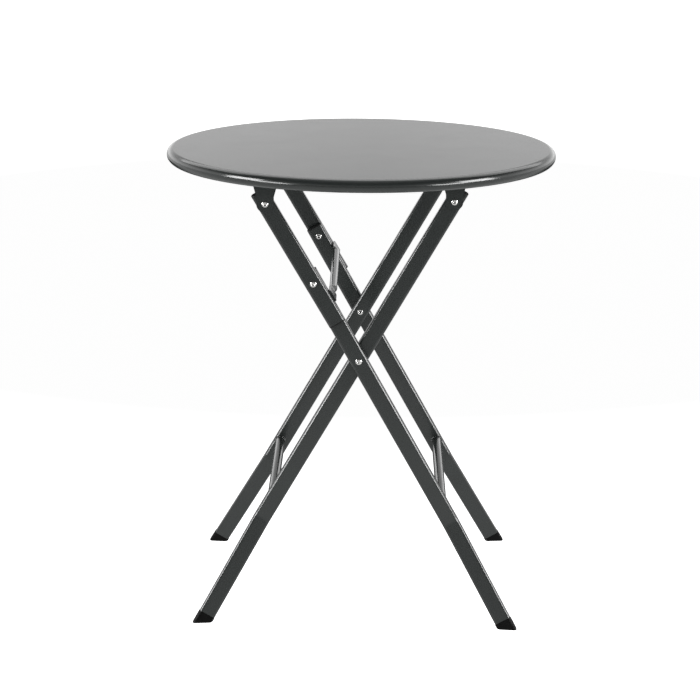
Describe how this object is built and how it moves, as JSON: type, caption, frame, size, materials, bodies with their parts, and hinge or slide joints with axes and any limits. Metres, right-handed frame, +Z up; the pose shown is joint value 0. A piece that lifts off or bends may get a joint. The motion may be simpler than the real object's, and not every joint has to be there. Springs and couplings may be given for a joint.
{
  "type": "folding bistro table",
  "caption": "Round sheet-steel cafe table on folding scissor legs, with a rolled rim, a knee hinge in the outer frame, a stop bar and plastic feet.",
  "frame": {"origin": "on the floor under the centre of the round top", "axes": "+Z up; the legs cross in the XZ plane and the hinge axes run along Y, with the front of the table towards -Y"},
  "size_m": [0.604, 0.6039, 0.7115],
  "materials": {
    "powder_coat": "satin anthracite powder coat",
    "black_plastic": "moulded, slightly glossy",
    "bright_steel": "zinc plated rivets",
    "nylon": "plain moulded nylon"
  },
  "bodies": {
    "inner_frame": {"front_crossing_rivet": "bright_steel", "front_crossing_washer": "nylon", "front_inner_foot": "black_plastic", "front_inner_leg": "powder_coat", "front_inner_leg_plug": "black_plastic", "front_leg_ear_rivet_shank": "bright_steel", "front_leg_ear_washer": "nylon", "inner_crossbar": "powder_coat", "rear_crossing_rivet": "bright_steel", "rear_crossing_washer": "nylon", "rear_inner_foot": "black_plastic", "rear_inner_leg": "powder_coat", "rear_inner_leg_plug": "black_plastic", "rear_leg_ear_rivet_shank": "bright_steel", "rear_leg_ear_washer": "nylon"},
    "outer_frame": {"front_knee_rivet": "bright_steel", "front_knee_washer": "nylon", "front_outer_foot": "black_plastic", "front_outer_leg": "powder_coat", "front_outer_leg_plug": "black_plastic", "outer_crossbar": "powder_coat", "rear_knee_rivet": "bright_steel", "rear_knee_washer": "nylon", "rear_outer_foot": "black_plastic", "rear_outer_leg": "powder_coat", "rear_outer_leg_plug": "black_plastic"},
    "upper_links": {"front_link_tail_plug": "black_plastic", "front_link_top_plug": "black_plastic", "front_upper_link": "powder_coat", "rear_link_tail_plug": "black_plastic", "rear_link_top_plug": "black_plastic", "rear_upper_link": "powder_coat", "stop_bar": "powder_coat"},
    "top_assembly": {"front_leg_ear_rivet_head": "bright_steel", "front_link_ear_rivet": "bright_steel", "front_link_ear_washer": "nylon", "inner_rail": "powder_coat", "outer_rail": "powder_coat", "rear_leg_ear_rivet_head": "bright_steel", "rear_link_ear_rivet": "bright_steel", "rear_link_ear_washer": "nylon", "tabletop": "powder_coat"}
  },
  "joints": [
    {"name": "frame_fold", "type": "hinge", "parent": "inner_frame", "child": "outer_frame", "pos_m": [0, 0, 0.41238], "axis": [0, 1, 0], "range_deg": [0, 53.85]},
    {"name": "knee_fold", "type": "hinge", "parent": "outer_frame", "child": "upper_links", "pos_m": [-0.06911, 0, 0.53529], "axis": [0, 1, 0], "range_deg": [-156.82, 0]},
    {"name": "top_fold", "type": "hinge", "parent": "upper_links", "child": "top_assembly", "pos_m": [-0.141, 0, 0.6566], "axis": [0, 1, 0], "range_deg": [0, 53.87]}
  ],
  "couplings": [
    {"joint": "knee_fold", "follows": "frame_fold", "ratio": -2.9118},
    {"joint": "top_fold", "follows": "frame_fold", "ratio": 1}
  ]
}
